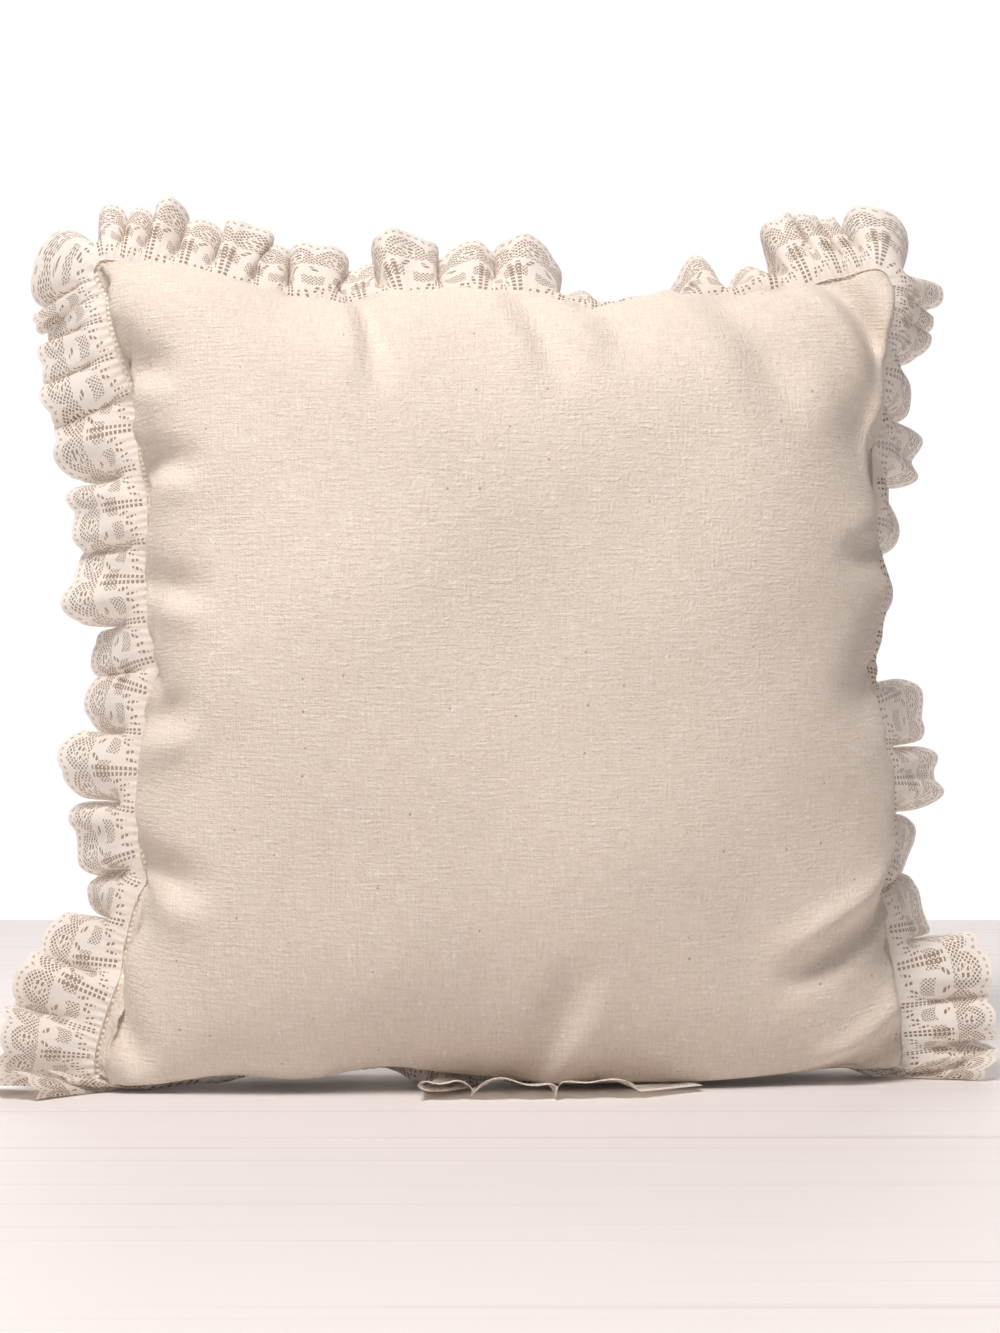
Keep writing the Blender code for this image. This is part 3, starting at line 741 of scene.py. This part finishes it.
def holes_along(value, pitch, limit):
    """One in holes that repeat along the lace or across it, zero on the threads between them."""
    turn = add(tree, "Math", {1: 2 * math.pi / pitch}, {0: value}, operation="MULTIPLY")
    wave = add(tree, "Math", links={0: turn.outputs[0]}, operation="SINE")
    return above(wave.outputs[0], limit)


def both(one, other):
    """One where both values are one."""
    return add(tree, "Math", links={0: one, 1: other}, operation="MULTIPLY").outputs[0]


# The net's holes are about 0.6 mm across in fact, and are drawn at 1.0 mm
net_size = add(tree, "Mapping", {"Scale": (960.0, 960.0, 1.0), "Rotation": (0, 0, math.pi / 4)},
               {"Vector": flat.outputs["UV"]})
cells = add(tree, "TexVoronoi", {"Scale": 1.0, "Randomness": 0.3},
            {"Vector": net_size.outputs["Vector"]}, feature="DISTANCE_TO_EDGE")
net_holes = both(above(net_in.outputs["Fac"], 0.0), above(cells.outputs["Distance"], 0.17))
# Rungs across the ladders every 1.5 mm, and a row of small holes 1.5 mm inside the scalloped edge
ladder_holes = both(above(ladder_in.outputs["Fac"], 0.0),
                    holes_along(split.outputs["Y"], 0.0015, -0.45))
near_edge = add(tree, "Math", {1: 1.5, 2: 0.35}, {0: inside_in.outputs["Fac"]}, operation="COMPARE")
picots = both(near_edge.outputs[0], holes_along(split.outputs["X"], 0.0017, 0.1))
opened = add(tree, "Math", links={0: net_holes, 1: ladder_holes}, operation="MAXIMUM")
opened = add(tree, "Math", {1: 0.55}, {0: picots, 2: opened.outputs[0]}, operation="MULTIPLY_ADD",
             use_clamp=True)
yarns = add(tree, "TexNoise", {"Scale": 2600.0, "Detail": 2.0}, {"Vector": flat.outputs["UV"]})
relief = add(tree, "Math", {1: 0.35}, {0: yarns.outputs["Fac"]}, operation="MULTIPLY")
relief = add(tree, "Math", links={0: relief.outputs[0], 1: opened.outputs[0]}, operation="SUBTRACT")
lace_bump = add(tree, "Bump", {"Strength": 0.6, "Distance": 0.0003}, {"Height": relief.outputs[0]})
lace_tone = ramp(tree, yarns.outputs["Fac"], ((0.0, "#f2e7de"), (1.0, "#fff9f3")))
# Painted shade: the net's holes, the ladder rungs and the picots take a dark brown tone in place of the
# shaded lace seen through them
lace_tone_with_painted_hole_shade = add(tree, "MixRGB", {"Color2": linear("#96795c")},
               {"Fac": opened.outputs[0], "Color1": lace_tone})
# The holes are only part clear: 84% covered by their painted shade, which stands in for the shaded lace
# folds behind them
hole_cover_for_painted_shade = add(tree, "MapRange", {"From Min": 0.0, "From Max": 1.0, "To Min": 1.0, "To Max": 0.84},
             {"Value": opened.outputs[0]})
within = above(inside_in.outputs["Fac"], 0.0)
front_shader = add(tree, "BsdfPrincipled",
                   {"Roughness": 0.8, "IOR": 1.46, "Specular IOR Level": 0.3, "Sheen Weight": 0.15},
                   {"Base Color": lace_tone_with_painted_hole_shade.outputs["Color"], "Normal": lace_bump.outputs["Normal"]})
through = add(tree, "BsdfTranslucent", links={"Color": lace_tone_with_painted_hole_shade.outputs["Color"]})
thin = add(tree, "MixShader", {"Fac": 0.38},
           {1: front_shader.outputs["BSDF"], 2: through.outputs["BSDF"]})
cover_share = both(hole_cover_for_painted_shade.outputs["Result"], within)
hole = add(tree, "BsdfTransparent")
openwork = add(tree, "MixShader", links={"Fac": cover_share, 1: hole.outputs["BSDF"],
                                         2: thin.outputs["Shader"]})
tree.links.new(openwork.outputs["Shader"], output.inputs["Surface"])
lace.data.materials.append(lace_cotton)
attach(lace, "root")
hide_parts("lace_ruffle")


# The heading: the lace's plain cream edge, drawn up in tight gathers and sewn into the seam, and
# the threads that hold it all: the gathering thread, two seam threads and the closing stitches.

PLEAT = 0.00072               # how far the heading's gathers stand out, and how far apart
PLEAT_PITCH = 0.0018
THREAD = 0.00022              # radius of a sewing thread
heading_rows = np.linspace(-HEADING_IN, HEADING, 9)
heading_points = ruffle(heading_rows, 0.0)
pleats = PLEAT * np.sin(2 * math.pi * station / PLEAT_PITCH + 2.4 * np.sin(station * 130)
                        + 3 * np.sin(station * 47))
edge_soft = 1.0 - 0.80 * smooth(heading_rows, -0.0035, 0.0005)
heading_points = heading_points + backward * (pleats[:, None] * edge_soft[None, :])[..., None]
heading_points[..., 2] = np.maximum(heading_points[..., 2], CLEAR)
uv = np.stack(np.broadcast_arrays(flat_q[:, None], heading_rows[None, :]), -1)
lace_heading = add_object("lace_heading", grid_mesh("lace_heading", heading_points, uv, closed=True))
tape, tree, output = new_material("cream cotton heading")
flat = add(tree, "UVMap", uv_map="flat")
ribs = add(tree, "TexNoise", {"Scale": 1400.0, "Detail": 3.0}, {"Vector": flat.outputs["UV"]})
rib_tone = ramp(tree, ribs.outputs["Fac"], ((0.0, "#e6d9ca"), (1.0, "#f7ede1")))
rib_bump = add(tree, "Bump", {"Strength": 0.6, "Distance": 0.0003}, {"Height": ribs.outputs["Fac"]})
shader = add(tree, "BsdfPrincipled", {"Roughness": 0.8, "IOR": 1.46, "Specular IOR Level": 0.3,
                                      "Sheen Weight": 0.15},
             {"Base Color": rib_tone, "Normal": rib_bump.outputs["Normal"]})
tree.links.new(shader.outputs["BSDF"], output.inputs["Surface"])
lace_heading.data.materials.append(tape)
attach(lace_heading, "root")
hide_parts("ruffle_heading")

cotton_thread, tree, output = new_material("cream sewing thread")
place = add(tree, "TexCoord")
twist = add(tree, "TexWave", {"Scale": 900.0, "Distortion": 1.0}, {"Vector": place.outputs["Object"]},
            bands_direction="DIAGONAL")
twist_bump = add(tree, "Bump", {"Strength": 0.5, "Distance": 0.0001}, {"Height": twist.outputs["Fac"]})
shader = add(tree, "BsdfPrincipled", {"Base Color": linear("#f3e9dc"), "Roughness": 0.6, "IOR": 1.5,
                                      "Sheen Weight": 0.1},
             {"Normal": twist_bump.outputs["Normal"]})
tree.links.new(shader.outputs["BSDF"], output.inputs["Surface"])


def thread(name, points, closed, node):
    """A sewing thread through points, which may close on itself, in place of its CAD node."""
    curve = bpy.data.curves.new(name, "CURVE")
    curve.dimensions = "3D"
    curve.bevel_depth = THREAD
    curve.bevel_resolution = 1
    line = curve.splines.new("POLY")
    line.points.add(len(points) - 1)
    line.points.foreach_set("co", np.concatenate([points, np.ones((len(points), 1))], 1).ravel())
    line.use_cyclic_u = closed
    made = add_object(name, curve)
    made.data.materials.append(cotton_thread)
    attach(made, "root")
    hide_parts(node)


# The gathering thread runs in and out of the heading's pleats
dip = 0.0003 * np.sin(2 * math.pi * station / PLEAT_PITCH)
gather_line = heading_points[:, -1] + backward * (dip - 0.0004)[:, None]
thread("gathering_line", gather_line[::4], True, "gathering_thread")

# The machine seam lies just inside the edge, a thread on each face of the turned-in cloth
SEWN_IN = 0.0015
SEAM_HALF = 0.0011
for name, side, node in (("needle_line", -1, "seam_needle_thread"),
                         ("bobbin_line", 1, "seam_bobbin_thread")):
    sewn = ruffle((-SEWN_IN,), 0.0)[:, 0] + backward * side * SEAM_HALF
    thread(name, sewn[::12], True, node)

# The gap the pillow was filled through, low on the left side, is closed by hand in a zigzag
STITCHES = 60
steps = np.linspace(round_from(LEFT, 0.55), round_from(LEFT, 0.81), STITCHES)
zigzag = np.where(np.arange(STITCHES) % 2 == 0, 0.0012, 0.0026)
closing = at(seam, steps) - at(outward, steps) * zigzag[:, None] + backward * 0.0016
thread("closing_stitches", closing, False, "closing_thread")
